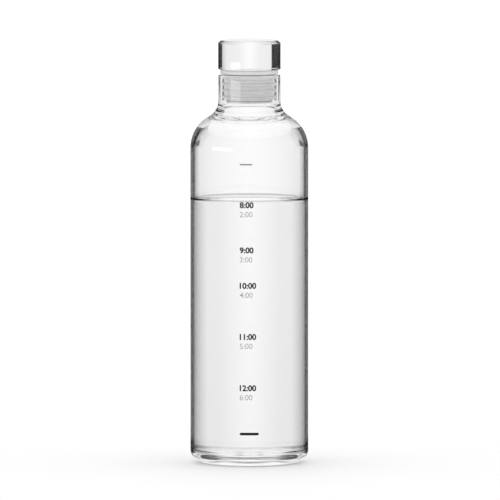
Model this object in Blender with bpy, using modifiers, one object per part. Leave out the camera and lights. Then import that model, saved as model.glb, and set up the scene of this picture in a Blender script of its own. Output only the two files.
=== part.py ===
"""Glass water bottle with a push-in stopper.

A straight-sided drinking bottle in thick clear glass, closed by a clear block that carries a hollow
core with a finned silicone sleeve. The origin is on the bottle's axis, on the surface it stands on,
and +Z is up. Every size below is in millimetres, and the meshes are built in metres.
"""

import math

import bpy

MM = 0.001
STEPS = 40  # facets round every turned piece
ARC_STEP_DEG = 22.5  # the most that one profile segment turns on a rounded stretch
GAP = 0.3  # between pieces that touch

# Glass body
BODY_RADIUS = 36.0
WALL = 2.4
NECK_RADIUS = 19.0
BORE_RADIUS = 16.9
LIP_Z = 237.6
LIP_ROUNDING = 0.9
SHOULDER_CORNER_Z = 205.5  # where the wall's line would meet the shoulder's slope
SHOULDER_RADIUS = 22.7
NECK_ROOT_Z = 215.6  # where the slope would meet the neck's line
NECK_ROOT_RADIUS = 10.0
INNER_CORNER_Z = 204.8
INNER_SHOULDER_RADIUS = 19.2
INNER_ROOT_Z = 211.7
INNER_ROOT_RADIUS = 3.0
HEEL_WIDTH = 10.5
HEEL_HEIGHT = 8.0
BEARING_WIDTH = 3.5  # the flat ring that the bottle stands on
PUNT_HEIGHT = 2.5
PUNT_FLAT_RADIUS = 14.0
FLOOR_Z = 7.0
INNER_HEEL_RADIUS = 7.0

# Clear block, held by a spigot glued into the core
BLOCK_RADIUS = 19.1
BLOCK_HEIGHT = 17.8
BLOCK_BEVEL_WIDTH = 1.9  # the sloping band round the top face
BLOCK_BEVEL_HEIGHT = 1.6
BLOCK_FOOT_BEVEL = 0.4
SPIGOT_RADIUS = 8.0
SPIGOT_LENGTH = 6.0

# Rim washer, between the block and the lip
WASHER_RADIUS = 17.6
WASHER_THICKNESS = 2.6
WASHER_ROUNDING = 0.5

# Hollow core, open at the bottom
CORE_RADIUS = 12.0
CORE_WALL = 1.8
CORE_WEB = 2.4  # between the spigot's socket and the hollow
CORE_FOOT_RADIUS = 14.2
CORE_FOOT_Z = 220.4
CORE_FOOT_HEIGHT = 1.2
CORE_FOOT_ROUNDING = 0.4
HOLLOW_ROUNDING = 1.0

# Silicone sleeve, with a collar under the rim and three fins that press on the bore
SLEEVE_RADIUS = 14.6
COLLAR_RADIUS = 16.5
COLLAR_FOOT_Z = 235.0
COLLAR_ROUNDING = 0.4
FIN_RADIUS = 16.6
FIN_HEIGHT = 1.2
FIN_ROUNDING = 0.5
FIN_COUNT = 3
FIN_TOP_Z = 231.8  # the middle of the highest fin
FIN_PITCH = 3.95

WASHER_FOOT_Z = LIP_Z + GAP
BLOCK_FOOT_Z = WASHER_FOOT_Z + WASHER_THICKNESS + GAP
CORE_TOP_Z = BLOCK_FOOT_Z - GAP
SLEEVE_TOP_Z = LIP_Z - GAP
SLEEVE_FOOT_Z = CORE_FOOT_Z + CORE_FOOT_HEIGHT + GAP


def arc(centre, width, height, start_deg, end_deg):
    """Points on a stretch of an ellipse, from one angle to the other."""
    count = max(2, math.ceil(abs(end_deg - start_deg) / ARC_STEP_DEG))
    angles = [math.radians(start_deg + (end_deg - start_deg) * i / count) for i in range(count + 1)]
    return [(centre[0] + width * math.cos(a), centre[1] + height * math.sin(a)) for a in angles]


def rounded(corner, before, after, radius):
    """The arc that rounds a corner between the points before and after it."""
    def direction(end):
        length = math.dist(corner, end)
        return (end[0] - corner[0]) / length, (end[1] - corner[1]) / length

    back, on = direction(before), direction(after)
    half = math.acos(back[0] * on[0] + back[1] * on[1]) / 2
    setback = radius / math.tan(half)
    reach = radius / math.sin(half)
    middle = (back[0] + on[0], back[1] + on[1])
    length = math.hypot(*middle)
    centre = tuple(corner[i] + middle[i] / length * reach for i in (0, 1))
    first = math.atan2(*(corner[i] + back[i] * setback - centre[i] for i in (1, 0)))
    last = math.atan2(*(corner[i] + on[i] * setback - centre[i] for i in (1, 0)))
    turn = (last - first + math.pi) % (2 * math.pi) - math.pi
    return arc(centre, radius, radius, math.degrees(first), math.degrees(first + turn))


def outline(corners):
    """A profile from (radius, height, rounding) corners, each rounded where it says so."""
    points = []
    for i, (r, z, rounding) in enumerate(corners):
        if rounding:
            before, after = corners[i - 1][:2], corners[(i + 1) % len(corners)][:2]
            points += rounded((r, z), before, after, rounding)
        else:
            points.append((r, z))
    return points


def material(name, colour, roughness, transmission, ior):
    made = bpy.data.materials.new(name)
    made.use_nodes = True
    shader = made.node_tree.nodes["Principled BSDF"]
    shader.inputs["Base Color"].default_value = (*colour, 1)
    shader.inputs["Roughness"].default_value = roughness
    shader.inputs["Metallic"].default_value = 0
    shader.inputs["Transmission Weight"].default_value = transmission
    shader.inputs["IOR"].default_value = ior
    return made


def turned(name, profile, closed, finish, collection, axis=None):
    """A profile in the XZ plane, running down its outer side, turned once round Z.

    A piece on a joint's axis has its origin there, at the height of the lip.
    """
    origin_z = LIP_Z if axis else 0
    points = [(r * MM, 0, (z - origin_z) * MM) for r, z in profile]
    edges = [(i, i + 1) for i in range(len(points) - 1)]
    if closed:
        edges.append((len(points) - 1, 0))
    mesh = bpy.data.meshes.new(name)
    mesh.from_pydata(points, edges, [])
    mesh.materials.append(finish)
    piece = bpy.data.objects.new(name, mesh)
    piece.parent = axis
    collection.objects.link(piece)
    screw = piece.modifiers.new("turn", "SCREW")
    screw.axis = "Z"
    screw.steps = STEPS
    screw.render_steps = STEPS
    screw.use_merge_vertices = True
    screw.merge_threshold = 0.00001
    screw.use_smooth_shade = True


def joint_axis(name, height, collection, parent=None):
    """An empty on the bottle's axis, which the pieces that move together hang from."""
    empty = bpy.data.objects.new(name, None)
    empty.empty_display_size = 0.01
    empty.location.z = height * MM
    empty.parent = parent
    collection.objects.link(empty)
    return empty


def glass_profile():
    """From the middle of the floor, up the inside, over the lip and down the outside."""
    inner = BODY_RADIUS - WALL
    heel_start = BODY_RADIUS - HEEL_WIDTH
    punt_edge = heel_start - BEARING_WIDTH
    upper = outline([
        (0, FLOOR_Z, 0),
        (inner, FLOOR_Z, INNER_HEEL_RADIUS),
        (inner, INNER_CORNER_Z, INNER_SHOULDER_RADIUS),
        (BORE_RADIUS, INNER_ROOT_Z, INNER_ROOT_RADIUS),
        (BORE_RADIUS, LIP_Z, LIP_ROUNDING),
        (NECK_RADIUS, LIP_Z, LIP_ROUNDING),
        (NECK_RADIUS, NECK_ROOT_Z, NECK_ROOT_RADIUS),
        (BODY_RADIUS, SHOULDER_CORNER_Z, SHOULDER_RADIUS),
        (BODY_RADIUS, HEEL_HEIGHT, 0),
    ])
    heel = arc((heel_start, HEEL_HEIGHT), HEEL_WIDTH, HEEL_HEIGHT, 0, -90)[1:]
    punt = [(punt_edge, 0), (PUNT_FLAT_RADIUS, PUNT_HEIGHT), (0, PUNT_HEIGHT)]
    return upper + heel + punt


def block_profile():
    """From the middle of the top face down to the middle of the spigot's end."""
    top = BLOCK_FOOT_Z + BLOCK_HEIGHT
    foot = BLOCK_FOOT_Z
    end = BLOCK_FOOT_Z - SPIGOT_LENGTH
    return outline([
        (0, top, 0),
        (BLOCK_RADIUS - BLOCK_BEVEL_WIDTH, top, 0),
        (BLOCK_RADIUS, top - BLOCK_BEVEL_HEIGHT, 0),
        (BLOCK_RADIUS, foot, BLOCK_FOOT_BEVEL),
        (SPIGOT_RADIUS, foot, 0),
        (SPIGOT_RADIUS, end, BLOCK_FOOT_BEVEL),
        (0, end, 0),
    ])


def washer_profile():
    inner = CORE_RADIUS + GAP
    top = WASHER_FOOT_Z + WASHER_THICKNESS
    return outline([
        (inner, top, 0),
        (WASHER_RADIUS, top, WASHER_ROUNDING),
        (WASHER_RADIUS, WASHER_FOOT_Z, WASHER_ROUNDING),
        (inner, WASHER_FOOT_Z, 0),
    ])


def core_profile():
    """From the bottom of the spigot's socket, over the top, down the outside and up the hollow."""
    socket_radius = SPIGOT_RADIUS + GAP
    socket_floor = BLOCK_FOOT_Z - SPIGOT_LENGTH - GAP
    hollow_radius = CORE_RADIUS - CORE_WALL
    hollow_top = socket_floor - CORE_WEB
    foot_top = CORE_FOOT_Z + CORE_FOOT_HEIGHT
    return outline([
        (0, socket_floor, 0),
        (socket_radius, socket_floor, 0),
        (socket_radius, CORE_TOP_Z, 0),
        (CORE_RADIUS, CORE_TOP_Z, 0),
        (CORE_RADIUS, foot_top, 0),
        (CORE_FOOT_RADIUS, foot_top, 0),
        (CORE_FOOT_RADIUS, CORE_FOOT_Z, CORE_FOOT_ROUNDING),
        (hollow_radius, CORE_FOOT_Z, 0),
        (hollow_radius, hollow_top, HOLLOW_ROUNDING),
        (0, hollow_top, 0),
    ])


def sleeve_profile():
    """A closed loop: the collar, the fins and the foot outside, and the plain bore inside."""
    inner = CORE_RADIUS + GAP
    corners = [
        (inner, SLEEVE_TOP_Z, 0),
        (COLLAR_RADIUS, SLEEVE_TOP_Z, COLLAR_ROUNDING),
        (COLLAR_RADIUS, COLLAR_FOOT_Z, COLLAR_ROUNDING),
        (SLEEVE_RADIUS, COLLAR_FOOT_Z, 0),
    ]
    for fin in range(FIN_COUNT):
        middle = FIN_TOP_Z - fin * FIN_PITCH
        for side in (1, -1):
            edge = middle + side * FIN_HEIGHT / 2
            root = (SLEEVE_RADIUS, edge, 0)
            tip = (FIN_RADIUS, edge, FIN_ROUNDING)
            corners += [root, tip] if side > 0 else [tip, root]
    corners += [(SLEEVE_RADIUS, SLEEVE_FOOT_Z, 0), (inner, SLEEVE_FOOT_Z, 0)]
    return outline(corners)


def main():
    for old in list(bpy.data.objects):
        bpy.data.objects.remove(old, do_unlink=True)
    collection = bpy.data.collections.new("glass_water_bottle")
    bpy.context.scene.collection.children.link(collection)

    glass = material("clear_glass", (0.96, 0.98, 0.98), 0.0, 1.0, 1.5)
    acrylic = material("clear_acrylic", (0.97, 0.98, 0.98), 0.02, 1.0, 1.49)
    polymer = material("frosted_polymer", (0.86, 0.87, 0.87), 0.35, 0.6, 1.49)
    silicone = material("clear_silicone", (0.84, 0.85, 0.85), 0.45, 0.5, 1.41)

    lift = joint_axis("lid_lift_axis", LIP_Z, collection)
    turn = joint_axis("lid_turn_axis", 0, collection, lift)

    turned("glass_bottle", glass_profile(), False, glass, collection)
    turned("rim_washer", washer_profile(), True, silicone, collection, lift)
    turned("lid_block", block_profile(), False, acrylic, collection, turn)
    turned("stopper_core", core_profile(), False, polymer, collection, turn)
    turned("seal_sleeve", sleeve_profile(), True, silicone, collection, turn)


main()
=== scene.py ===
import math

import bmesh
import bpy
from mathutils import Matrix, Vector


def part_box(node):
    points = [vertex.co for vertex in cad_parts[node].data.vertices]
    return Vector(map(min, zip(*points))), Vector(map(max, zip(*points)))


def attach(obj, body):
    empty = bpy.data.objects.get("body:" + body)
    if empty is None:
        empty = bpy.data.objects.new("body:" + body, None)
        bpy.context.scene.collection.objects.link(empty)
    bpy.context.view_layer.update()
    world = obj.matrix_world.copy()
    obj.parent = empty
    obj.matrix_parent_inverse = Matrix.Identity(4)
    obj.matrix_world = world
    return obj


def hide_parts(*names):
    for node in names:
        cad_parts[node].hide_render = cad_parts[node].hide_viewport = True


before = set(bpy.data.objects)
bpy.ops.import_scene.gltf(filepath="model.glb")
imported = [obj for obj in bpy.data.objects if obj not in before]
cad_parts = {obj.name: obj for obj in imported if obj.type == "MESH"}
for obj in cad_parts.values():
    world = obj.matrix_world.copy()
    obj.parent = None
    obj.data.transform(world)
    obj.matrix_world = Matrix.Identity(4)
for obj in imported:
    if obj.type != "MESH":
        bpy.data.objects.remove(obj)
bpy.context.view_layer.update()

# The looks of the glass water bottle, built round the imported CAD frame. Sizes are in millimetres.
MM = 0.001

# Driving sizes in millimetres, from the CAD frame
BODY_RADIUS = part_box("glass_bottle")[1].x / MM
LIP_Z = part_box("glass_bottle")[1].z / MM
BLOCK_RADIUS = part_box("lid_block")[1].x / MM
BLOCK_TOP_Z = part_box("lid_block")[1].z / MM
SPIGOT_END_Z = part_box("lid_block")[0].z / MM
WASHER_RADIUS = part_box("rim_washer")[1].x / MM
WASHER_FOOT_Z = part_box("rim_washer")[0].z / MM
WASHER_TOP_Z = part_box("rim_washer")[1].z / MM
CORE_FOOT_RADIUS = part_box("stopper_core")[1].x / MM
CORE_FOOT_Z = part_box("stopper_core")[0].z / MM
CORE_TOP_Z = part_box("stopper_core")[1].z / MM
FIN_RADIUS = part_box("seal_sleeve")[1].x / MM
SLEEVE_FOOT_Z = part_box("seal_sleeve")[0].z / MM
SLEEVE_TOP_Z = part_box("seal_sleeve")[1].z / MM

# The glass inside and out
WALL = 2.4
NECK_RADIUS = 19.0
BORE_RADIUS = 16.9
SHOULDER = (205.5, 22.7)  # height of the corner that is rounded, and its radius
NECK_ROOT = (215.6, 10.0)
INNER_SHOULDER = (204.8, 19.2)
INNER_ROOT = (211.7, 3.0)
HEEL = (10.5, 8.0)  # width and height of the outer heel
BEARING_WIDTH = 3.5
PUNT_HEIGHT = 2.5
PUNT_RADIUS = 15.0
FLOOR_Z = 7.0
INNER_HEEL = 7.0

BLOCK_BEVEL = (1.9, 1.6)  # width and height of the sloping band round the top face

# The stopper
TOUCH = 0.3  # between pieces that touch
SPIGOT_RADIUS = 8.0
CORE_RADIUS = 12.0
CORE_WALL = 1.8
CORE_WEB = 2.4  # between the spigot's socket and the hollow
CORE_FOOT_HEIGHT = 1.2
SLEEVE_RADIUS = 14.6
COLLAR_RADIUS = 16.5
COLLAR_FOOT_Z = 235.0
FIN_COUNT = 3
FIN_TOP_Z = 231.8  # the middle of the highest fin
FIN_PITCH = 3.95
FIN_ROOT_HALF = 0.7
FIN_TIP_HALF = 0.55

WATER_Z = 161.0
MENISCUS = 1.6  # how far the water climbs the glass
MENISCUS_REACH = 4.0
MENISCUS_FALL = 0.9
WATER_OVERLAP = 0.08  # into the glass, so that no air shows between them
SEGMENTS = 256
ARC_STEP = 4.0  # degrees that one profile segment turns


def arc(centre, width, height, start, end):
    """Points on an ellipse from one angle to the other, in degrees."""
    count = max(2, math.ceil(abs(end - start) / ARC_STEP))
    angles = [math.radians(start + (end - start) * i / count) for i in range(count + 1)]
    return [(centre[0] + width * math.cos(a), centre[1] + height * math.sin(a)) for a in angles]


def rounded(corner, before, after, radius):
    """The arc that rounds a corner between the points before and after it."""
    here, back, on = Vector(corner), Vector(before), Vector(after)
    back = (back - here).normalized()
    on = (on - here).normalized()
    half = back.angle(on) / 2
    centre = here + (back + on).normalized() * radius / math.sin(half)
    start = here + back * radius / math.tan(half) - centre
    end = here + on * radius / math.tan(half) - centre
    first = math.degrees(math.atan2(start.y, start.x))
    last = math.degrees(math.atan2(end.y, end.x))
    turn = (last - first + 180) % 360 - 180
    return arc(centre, radius, radius, first, first + turn)


def outline(corners):
    """A profile from (radius, height, rounding) corners."""
    points = []
    for i, (r, z, rounding) in enumerate(corners):
        if rounding:
            after = corners[(i + 1) % len(corners)]
            points += rounded((r, z), corners[i - 1][:2], after[:2], rounding)
        else:
            points.append((r, z))
    return points


def lathe(name, profile, closed=False):
    """A solid of revolution from a profile that runs down its outer side, in millimetres."""
    verts, rings = [], []
    for r, z in profile:
        if r < 1e-6:
            rings.append([len(verts)])
            verts.append((0, 0, z * MM))
        else:
            rings.append([len(verts) + i for i in range(SEGMENTS)])
            for i in range(SEGMENTS):
                a = 2 * math.pi * i / SEGMENTS
                verts.append((r * MM * math.cos(a), r * MM * math.sin(a), z * MM))
    faces = []
    pairs = list(zip(rings, rings[1:]))
    if closed:
        pairs.append((rings[-1], rings[0]))
    for upper, lower in pairs:
        for i in range(SEGMENTS):
            j = (i + 1) % SEGMENTS
            if len(upper) == 1 and len(lower) == 1:
                continue
            if len(upper) == 1:
                faces.append((upper[0], lower[i], lower[j]))
            elif len(lower) == 1:
                faces.append((upper[i], lower[0], upper[j]))
            else:
                faces.append((upper[i], lower[i], lower[j], upper[j]))
    mesh = bpy.data.meshes.new(name)
    mesh.from_pydata(verts, [], faces)
    mesh.shade_smooth()
    mesh.set_sharp_from_angle(angle=math.radians(30))
    obj = bpy.data.objects.new(name, mesh)
    bpy.context.scene.collection.objects.link(obj)
    return obj


# ---------------------------------------------------------------- materials

def principled(name, colour, roughness, **inputs):
    mat = bpy.data.materials.new(name)
    mat.use_nodes = True
    shader = mat.node_tree.nodes["Principled BSDF"]
    shader.inputs["Base Color"].default_value = (*colour, 1)
    shader.inputs["Roughness"].default_value = roughness
    for key, value in inputs.items():
        shader.inputs[key].default_value = value
    return mat, shader


def add_bump(mat, shader, scale, distance):
    nodes, links = mat.node_tree.nodes, mat.node_tree.links
    coords = nodes.new("ShaderNodeTexCoord")
    noise = nodes.new("ShaderNodeTexNoise")
    noise.inputs["Scale"].default_value = scale
    noise.inputs["Detail"].default_value = 2.0
    bump = nodes.new("ShaderNodeBump")
    bump.inputs["Strength"].default_value = 1.0
    bump.inputs["Distance"].default_value = distance
    links.new(coords.outputs["Object"], noise.inputs["Vector"])
    links.new(noise.outputs["Fac"], bump.inputs["Height"])
    links.new(bump.outputs["Normal"], shader.inputs["Normal"])


def clear(name, ior, tint, bump_scale, bump_height, painted_edge_shade=()):
    """A clear, polished material. Each stop of its painted edge shade is (facing, brightness), from 0 head on
    to 1 edge on; it darkens the tint towards the edges as painted shade.
    """
    mat, shader = principled(name, tint, 0.0, **{"Transmission Weight": 1.0, "IOR": ior})
    add_bump(mat, shader, bump_scale, bump_height)
    if painted_edge_shade:
        nodes, links = mat.node_tree.nodes, mat.node_tree.links
        facing = nodes.new("ShaderNodeLayerWeight")
        ramp = nodes.new("ShaderNodeValToRGB")
        links.new(facing.outputs["Facing"], ramp.inputs["Fac"])
        links.new(ramp.outputs["Color"], shader.inputs["Base Color"])
        set_stops(ramp.color_ramp, painted_edge_shade, power=2)  # the shader tints each crossing by the root
    return mat


def set_stops(ramp, stops, power=1):
    """Fills a colour ramp from (position, brightness) stops."""
    ramp.elements.remove(ramp.elements[-1])
    for i, (position, level) in enumerate(stops):
        element = ramp.elements[0] if i == 0 else ramp.elements.new(position)
        element.position = position
        element.color = (level ** power, level ** power, level ** power, 1)


def painted_edge_shade(start, darkest, level):
    """Painted edge shade for clear material: clear head on, painted dark near its edge, lighter at the rim.
    """
    return [(0.0, 0.99), (start, 0.97), (darkest, level), (1.0, 0.5)]


# Painted shade: these ramps darken each clear material's tint towards its edges by facing
GLASS_PAINTED_EDGE_SHADE = painted_edge_shade(0.45, 0.65, 0.0)
FILLED_PAINTED_EDGE_SHADE = painted_edge_shade(0.3, 0.7, 0.1)
BLOCK_PAINTED_EDGE_SHADE = painted_edge_shade(0.3, 0.7, 0.0)

glass = clear("clear_glass", 1.5, (0.985, 0.985, 0.985), 30.0, 0.00001, GLASS_PAINTED_EDGE_SHADE)
acrylic = clear("clear_block", 1.49, (0.97, 0.97, 0.97), 20.0, 0.000005, BLOCK_PAINTED_EDGE_SHADE)
plain_acrylic = clear("clear_block_face", 1.49, (0.97, 0.97, 0.97), 20.0, 0.000005)
# Painted shade: the block's flat top face gets a darker tint than the rest of the same acrylic
painted_shade_top_acrylic = clear("clear_block_top_painted_shade", 1.49, (0.7, 0.7, 0.7), 20.0, 0.000005)
water_mat = clear("water", 1.333, (0.98, 0.98, 0.98), 10.0, 0.000005)
# Painted shade: a dark grey tint on the water's meniscus ring
water_meniscus_painted_shade = clear("water_meniscus_painted_shade", 1.333, (0.4, 0.4, 0.4), 10.0, 0.000005)
wet_glass = clear("wet_glass", 1.5, (0.985, 0.985, 0.985), 30.0, 0.00001)
plain_glass = clear("plain_glass", 1.5, (0.985, 0.985, 0.985), 30.0, 0.00001)
filled_glass = clear("filled_glass", 1.5, (0.985, 0.985, 0.985), 30.0, 0.00001, FILLED_PAINTED_EDGE_SHADE)
# Glass and water mirror almost nothing where they touch
for touching in (water_mat, wet_glass):
    touching.node_tree.nodes["Principled BSDF"].inputs["Specular Tint"].default_value = (0, 0, 0, 1)


def milky(name, colour, roughness, transmission):
    mat, shader = principled(name, colour, roughness,
                             **{"Transmission Weight": transmission, "IOR": 1.41})
    add_bump(mat, shader, 900.0, 0.00004)
    return mat


silicone = milky("silicone", (0.82, 0.82, 0.82), 0.35, 0.1)
polymer = milky("frosted_polymer", (0.84, 0.84, 0.84), 0.3, 0.2)


def ink(name, colour):
    mat, shader = principled(name, colour, 0.6)
    add_bump(mat, shader, 4000.0, 0.00001)
    return mat


black_ink = ink("ink_black", (0.01, 0.01, 0.01))
grey_ink = ink("ink_grey", (0.45, 0.45, 0.45))


def finish_piece(obj, mat, slot, body, *nodes):
    obj.data.materials.clear()
    obj.data.materials.append(mat)
    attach(obj, body)
    if nodes:
        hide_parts(*nodes)


# ---------------------------------------------------------------- the pieces

def glass_profile():
    inner = BODY_RADIUS - WALL
    heel_start = BODY_RADIUS - HEEL[0]
    upper = outline([
        (0, FLOOR_Z, 0),
        (inner, FLOOR_Z, INNER_HEEL),
        (inner, WATER_Z + MENISCUS, 0),
        (inner, INNER_SHOULDER[0], INNER_SHOULDER[1]),
        (BORE_RADIUS, INNER_ROOT[0], INNER_ROOT[1]),
        (BORE_RADIUS, LIP_Z, 0.9),
        (NECK_RADIUS, LIP_Z, 0.9),
        (NECK_RADIUS, NECK_ROOT[0], NECK_ROOT[1]),
        (BODY_RADIUS, SHOULDER[0], SHOULDER[1]),
        (BODY_RADIUS, WATER_Z, 0),
        (BODY_RADIUS, HEEL[1], 0),
    ])
    heel = arc((heel_start, HEEL[1]), HEEL[0], HEEL[1], 0, -90)[1:]
    punt_edge = heel_start - BEARING_WIDTH
    steps = 24
    punt = []
    for i in range(steps + 1):
        t = i / steps
        r = punt_edge * (1 - t)
        fall = max(0.0, (r - PUNT_RADIUS * 0.5) / (punt_edge - PUNT_RADIUS * 0.5))
        punt.append((r, PUNT_HEIGHT * (1 - fall * fall * (3 - 2 * fall))))
    return upper + heel + punt


def block_profile():
    foot = CORE_TOP_Z + TOUCH
    return outline([
        (0, BLOCK_TOP_Z, 0),
        (BLOCK_RADIUS - BLOCK_BEVEL[0], BLOCK_TOP_Z, 0.8),
        (BLOCK_RADIUS, BLOCK_TOP_Z - BLOCK_BEVEL[1], 0.8),
        (BLOCK_RADIUS, foot, 0.5),
        (SPIGOT_RADIUS, foot, 0.3),
        (SPIGOT_RADIUS, SPIGOT_END_Z, 0.4),
        (0, SPIGOT_END_Z, 0),
    ])


def washer_profile():
    inner = CORE_RADIUS + TOUCH
    return outline([
        (inner, WASHER_TOP_Z, 0.2),
        (WASHER_RADIUS, WASHER_TOP_Z, 0.6),
        (WASHER_RADIUS, WASHER_FOOT_Z, 0.6),
        (inner, WASHER_FOOT_Z, 0.2),
    ])


def core_profile():
    socket_floor = SPIGOT_END_Z - TOUCH
    socket_radius = SPIGOT_RADIUS + TOUCH
    foot_top = CORE_FOOT_Z + CORE_FOOT_HEIGHT
    hollow_radius = CORE_RADIUS - CORE_WALL
    hollow_top = socket_floor - CORE_WEB
    return outline([
        (0, socket_floor, 0),
        (socket_radius, socket_floor, 0.3),
        (socket_radius, CORE_TOP_Z, 0.2),
        (CORE_RADIUS, CORE_TOP_Z, 0.3),
        (CORE_RADIUS, foot_top, 0.2),
        (CORE_FOOT_RADIUS, foot_top, 0.3),
        (CORE_FOOT_RADIUS, CORE_FOOT_Z, 0.4),
        (hollow_radius, CORE_FOOT_Z, 0.3),
        (hollow_radius, hollow_top, 1.0),
        (0, hollow_top, 0),
    ])


def sleeve_profile():
    inner = CORE_RADIUS + TOUCH
    corners = [
        (inner, SLEEVE_TOP_Z, 0.2),
        (COLLAR_RADIUS, SLEEVE_TOP_Z, 0.5),
        (COLLAR_RADIUS, COLLAR_FOOT_Z, 0.5),
        (SLEEVE_RADIUS, COLLAR_FOOT_Z, 0.3),
    ]
    for fin in range(FIN_COUNT):
        middle = FIN_TOP_Z - fin * FIN_PITCH
        corners += [
            (SLEEVE_RADIUS, middle + FIN_ROOT_HALF, 0.3),
            (FIN_RADIUS, middle + FIN_TIP_HALF, 0.5),
            (FIN_RADIUS, middle - FIN_TIP_HALF, 0.5),
            (SLEEVE_RADIUS, middle - FIN_ROOT_HALF, 0.3),
        ]
    corners += [(SLEEVE_RADIUS, SLEEVE_FOOT_Z, 0.3), (inner, SLEEVE_FOOT_Z, 0.2)]
    return outline(corners)


def water_profile():
    """Fills the glass just past its inner face, with a meniscus that climbs the wall."""
    over = WATER_OVERLAP
    wall = BODY_RADIUS - WALL
    surface = [(0, WATER_Z)]
    steps = 14
    for i in range(steps + 1):
        t = i / steps
        r = wall - MENISCUS_REACH + (MENISCUS_REACH + over) * t
        climb = math.exp(-(wall - r) / MENISCUS_FALL) if r < wall else 1.0
        surface.append((r, WATER_Z + MENISCUS * climb))
    below = outline([
        (wall + over, WATER_Z, 0),
        (wall + over, FLOOR_Z - over, INNER_HEEL + over),
        (0, FLOOR_Z - over, 0),
    ])[1:]
    return surface + below


def add_material(obj, mat):
    """Adds a material to a piece and returns its number there."""
    obj.data.materials.append(mat)
    return len(obj.data.materials) - 1


bottle = lathe("bottle_glass", glass_profile())
finish_piece(bottle, glass, "glass", "bottle", "glass_bottle")
wet = add_material(bottle, wet_glass)
filled = add_material(bottle, filled_glass)
plain = add_material(bottle, plain_glass)
wall_middle = (BODY_RADIUS - WALL / 2) * MM
# Painted edge shade by region: the outer wall below the water takes the filled glass's, the outer wall above
# it up to the shoulder the clear glass's; the inner faces, the heel and the neck take none
for face in bottle.data.polygons:
    place = face.center
    below_water = (FLOOR_Z + INNER_HEEL) * MM < place.z < (WATER_Z + MENISCUS) * MM
    faces_in = face.normal.xy.dot(place.xy) < 0 or face.normal.z > 0.1 and place.z < WATER_Z * MM
    if below_water and place.xy.length < wall_middle and faces_in:
        face.material_index = wet
    elif place.z < HEEL[1] * MM:
        face.material_index = plain
    elif place.z < WATER_Z * MM and place.xy.length > wall_middle:
        face.material_index = filled
    elif faces_in or place.z > SHOULDER[0] * MM:
        face.material_index = plain
water = lathe("water_fill", water_profile())
finish_piece(water, water_mat, "glass", "bottle")
meniscus_shade_index = add_material(water, water_meniscus_painted_shade)
# The meniscus faces above the flat surface take the dark tint as painted shade
for face in water.data.polygons:
    if face.center.z > (WATER_Z + 0.5) * MM:
        face.material_index = meniscus_shade_index
washer = lathe("washer", washer_profile(), closed=True)
finish_piece(washer, silicone, "silicone", "washer", "rim_washer")
block = lathe("clear_block_body", block_profile())
finish_piece(block, acrylic, "clear_block", "lid", "lid_block")
plain = add_material(block, plain_acrylic)
top = add_material(block, painted_shade_top_acrylic)
# The flat top face takes the darker tint as painted shade; downward faces and the spigot take the plain
# acrylic without painted edge shade; the sides keep the painted edge shade
for face in block.data.polygons:
    if face.normal.z > 0.95 and face.center.z > CORE_TOP_Z * MM:
        face.material_index = top
    elif face.normal.z < -0.95 or face.center.z < CORE_TOP_Z * MM:
        face.material_index = plain
core = lathe("core", core_profile())
finish_piece(core, polymer, "frosted_polymer", "lid", "stopper_core")
sleeve = lathe("sleeve", sleeve_profile(), closed=True)
finish_piece(sleeve, silicone, "silicone", "lid", "seal_sleeve")


# ---------------------------------------------------------------- the printed scale

PRINT_LEFT = -5.9
INK_IN, INK_OUT = 35.93, 36.01  # the ink's inner and outer radius


def wrapped(name, mesh, colour):
    """Bends a flat print, drawn in millimetres in XY with its thickness in Z, onto the front of the glass."""
    layers = sorted({round(v.co.z, 6) for v in mesh.vertices})
    for v in mesh.vertices:
        r = INK_OUT if v.co.z > sum(layers) / len(layers) else INK_IN
        angle = v.co.x / BODY_RADIUS
        v.co = Vector((r * math.sin(angle), -r * math.cos(angle), v.co.y)) * MM
    mesh.name = name
    obj = bpy.data.objects.new(name, mesh)
    bpy.context.scene.collection.objects.link(obj)
    finish_piece(obj, colour, None, "bottle")
    return obj


def number(name, text, z, size, weight, colour):
    """A number of the scale. Its strokes are made heavier by weight."""
    curve = bpy.data.curves.new(name, "FONT")
    curve.body = text
    curve.size = size
    curve.offset = weight
    curve.extrude = 0.05
    curve.resolution_u = 4
    source = bpy.data.objects.new(name, curve)
    bpy.context.scene.collection.objects.link(source)
    bpy.context.view_layer.update()
    flat = bpy.data.meshes.new_from_object(source.evaluated_get(bpy.context.evaluated_depsgraph_get()))
    bpy.data.objects.remove(source)
    bpy.data.curves.remove(curve)
    solid = bmesh.new()
    solid.from_mesh(flat)
    bmesh.ops.remove_doubles(solid, verts=solid.verts, dist=0.0005)
    left = min(v.co.x for v in solid.verts)
    middle = (min(v.co.y for v in solid.verts) + max(v.co.y for v in solid.verts)) / 2
    bmesh.ops.translate(solid, verts=solid.verts, vec=(PRINT_LEFT - left, z - middle, 0))
    solid.to_mesh(flat)
    solid.free()
    return wrapped(name, flat, colour)


def bar(name, z, width, height, colour):
    """A plain bar with rounded ends."""
    solid = bmesh.new()
    ends = [(PRINT_LEFT + width - height / 2, -90), (PRINT_LEFT + height / 2, 90)]
    ring = [p for x, start in ends for p in arc((x, z), height / 2, height / 2, start, start + 180)]
    columns = [solid.verts.new((x, y, 0)) for x, y in ring]
    face = solid.faces.new(columns)
    grown = bmesh.ops.extrude_face_region(solid, geom=[face])
    top = [v for v in grown["geom"] if isinstance(v, bmesh.types.BMVert)]
    bmesh.ops.translate(solid, verts=top, vec=(0, 0, 0.1))
    bmesh.ops.recalc_face_normals(solid, faces=solid.faces)
    mesh = bpy.data.meshes.new(name)
    solid.to_mesh(mesh)
    solid.free()
    return wrapped(name, mesh, colour)


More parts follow.
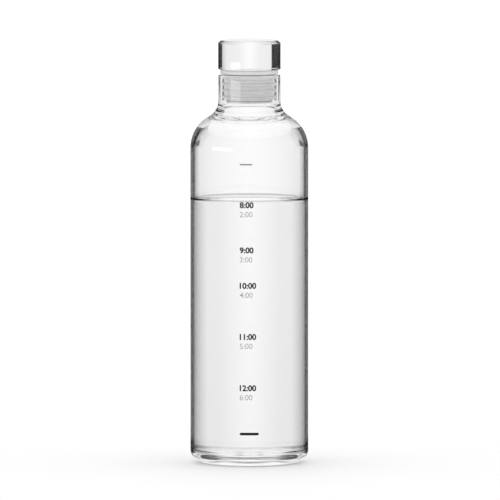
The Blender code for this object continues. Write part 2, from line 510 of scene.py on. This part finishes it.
bar("print_top_bar", 184.7, 7.8, 0.9, grey_ink)
for hour, z in ((8, 160.0), (9, 132.4), (10, 110.8), (11, 79.6), (12, 48.3)):
    number(f"print_{hour}", f"{hour}:00", z, 4.9, 0.17, black_ink)
    number(f"print_{hour}_later", f"{hour - 6}:00", z - 5.7, 4.7, 0.05, grey_ink)
bar("print_foot_bar", 20.3, 11.7, 1.6, black_ink)


# ---------------------------------------------------------------- studio

def stage_plane(name, size, z):
    mesh = bpy.data.meshes.new(name)
    s = size / 2
    mesh.from_pydata([(-s, -s, z), (s, -s, z), (s, s, z), (-s, s, z)], [], [(0, 1, 2, 3)])
    obj = bpy.data.objects.new(name, mesh)
    bpy.context.scene.collection.objects.link(obj)
    return obj


floor = stage_plane("floor", 30.0, -0.0002)
floor_mat, floor_shader = principled("floor_paper", (0.8, 0.8, 0.8), 0.9,
                                     **{"Emission Color": (1, 1, 1, 1), "Emission Strength": 0.24})
floor.data.materials.append(floor_mat)
floor.visible_transmission = False
floor.visible_glossy = False

scene = bpy.context.scene
scene.view_settings.view_transform = "Standard"
world = bpy.data.worlds.new("studio")
scene.world = world
world.use_nodes = True
world.node_tree.nodes["Background"].inputs["Color"].default_value = (1, 1, 1, 1)
world.node_tree.nodes["Background"].inputs["Strength"].default_value = 1.02

camera_data = bpy.data.cameras.new("camera")
camera = bpy.data.objects.new("camera", camera_data)
scene.collection.objects.link(camera)
scene.camera = camera
camera_data.lens = 1000
camera_data.sensor_width = 36
FRAME_WIDTH = 0.3055
distance = FRAME_WIDTH / (36 / 1000)
elevation = math.radians(4.2)
target = Vector((0.0004, 0, 0.13007))
camera.location = target + distance * Vector((0, -math.cos(elevation), math.sin(elevation)))
camera.rotation_euler = (math.pi / 2 - elevation, 0, 0)

TENT_RADIUS = 0.3
SCATTERED_GLOW = 1.5  # what light that has left a matt piece sees of the tent

# The light tent stands round the bottle and stays where it is in every view
rig = bpy.data.objects.new("light_tent", None)
scene.collection.objects.link(rig)


def tent_material(name, stops, side, foot_level, low, high):
    """Glows by the angle round the tent. Each stop is (degrees from straight behind, glow).

    Light that has already scattered off a matt piece meets an evenly lit tent.
    """
    mat = bpy.data.materials.new(name)
    mat.use_nodes = True
    nodes, links = mat.node_tree.nodes, mat.node_tree.links
    nodes.clear()
    coords = nodes.new("ShaderNodeTexCoord")
    split = nodes.new("ShaderNodeSeparateXYZ")
    flip = nodes.new("ShaderNodeMath")
    flip.operation = "MULTIPLY"
    flip.inputs[1].default_value = side
    turn = nodes.new("ShaderNodeMath")
    turn.operation = "ARCTAN2"
    share = nodes.new("ShaderNodeMath")
    share.operation = "DIVIDE"
    share.inputs[1].default_value = math.pi
    ramp = nodes.new("ShaderNodeValToRGB")
    fade = nodes.new("ShaderNodeMapRange")
    fade.inputs["From Min"].default_value = low
    fade.inputs["From Max"].default_value = high
    fade.inputs["To Min"].default_value = foot_level
    glow = nodes.new("ShaderNodeEmission")
    even = nodes.new("ShaderNodeEmission")
    even.inputs["Strength"].default_value = SCATTERED_GLOW
    path = nodes.new("ShaderNodeLightPath")
    mix = nodes.new("ShaderNodeMixShader")
    out = nodes.new("ShaderNodeOutputMaterial")
    links.new(coords.outputs["Object"], split.inputs[0])
    links.new(split.outputs["X"], flip.inputs[0])
    links.new(flip.outputs[0], turn.inputs[0])
    links.new(split.outputs["Y"], turn.inputs[1])
    links.new(turn.outputs[0], share.inputs[0])
    links.new(share.outputs[0], ramp.inputs["Fac"])
    links.new(split.outputs["Z"], fade.inputs["Value"])
    links.new(ramp.outputs["Color"], glow.inputs["Color"])
    links.new(fade.outputs["Result"], glow.inputs["Strength"])
    links.new(path.outputs["Diffuse Depth"], mix.inputs[0])
    links.new(glow.outputs[0], mix.inputs[1])
    links.new(even.outputs[0], mix.inputs[2])
    links.new(mix.outputs[0], out.inputs["Surface"])
    set_stops(ramp.color_ramp, [(angle / 180, level) for angle, level in stops])
    return mat


def tent_wall(name, low, high, left, right, seen_in, foot_level=1.0):
    """A ring of the tent round the bottle, in two halves, each with its own stops."""
    for half, side, stops in (("left", -1, left), ("right", 1, right)):
        count = 90
        angles = [math.pi * i / count for i in range(count + 1)]
        verts = [(side * TENT_RADIUS * math.sin(a), TENT_RADIUS * math.cos(a), z)
                 for a in angles for z in (low, high)]
        faces = [(2 * i, 2 * i + 2, 2 * i + 3, 2 * i + 1) for i in range(count)]
        mesh = bpy.data.meshes.new(name + half)
        mesh.from_pydata(verts, [], faces)
        glow = tent_material(name + half, stops, side, foot_level, low, high)
        mesh.materials.append(glow)
        obj = bpy.data.objects.new(name + half, mesh)
        scene.collection.objects.link(obj)
        obj.parent = rig
        obj.visible_camera = False
        obj.visible_diffuse = False
        obj.visible_shadow = False
        obj.visible_volume_scatter = False
        obj.visible_transmission = seen_in == "transmission"
        obj.visible_glossy = seen_in == "glossy"


SIDE_PAPER = 0.93


def paper(card=()):
    """White paper all round, a shade darker at the sides, with a black card from one angle to another."""
    stops = [(0, 1.05), (12, SIDE_PAPER)]
    if card:
        start, end = card
        stops += [(start, SIDE_PAPER), (start + 2, 0.0), (end - 2, 0.0), (end, SIDE_PAPER)]
    return stops + [(85, 1.0), (180, 1.0)]


PAPER = paper()
NECK_CARD = paper((15, 35))
CAP_CARD_LEFT = paper((30, 75))
CAP_CARD_RIGHT = paper((45, 75))
MIRROR = [(0, 1.0), (10, 1.0), (15, 0.0), (180, 0.0)]
SOFTBOX = [(0, 1.0), (10, 1.0), (15, 0.0), (105, 0.0), (110, 3.0), (145, 3.0), (150, 0.0), (180, 0.0)]
tent_wall("tent_foot_", -0.06, 0.1, PAPER, PAPER, "transmission", foot_level=0.95)
tent_wall("tent_body_", 0.1, 0.198, PAPER, PAPER, "transmission")
tent_wall("tent_neck_", 0.198, 0.219, NECK_CARD, NECK_CARD, "transmission")
tent_wall("tent_cap_", 0.219, 0.4, CAP_CARD_LEFT, CAP_CARD_RIGHT, "transmission")
tent_wall("mirror_low_", -0.06, 0.185, MIRROR, MIRROR, "glossy")
tent_wall("mirror_neck_", 0.185, 0.226, SOFTBOX, MIRROR, "glossy")
tent_wall("mirror_cap_", 0.226, 0.4, MIRROR, MIRROR, "glossy")

scene.cycles.max_bounces = 32
scene.cycles.transmission_bounces = 32
scene.cycles.glossy_bounces = 32
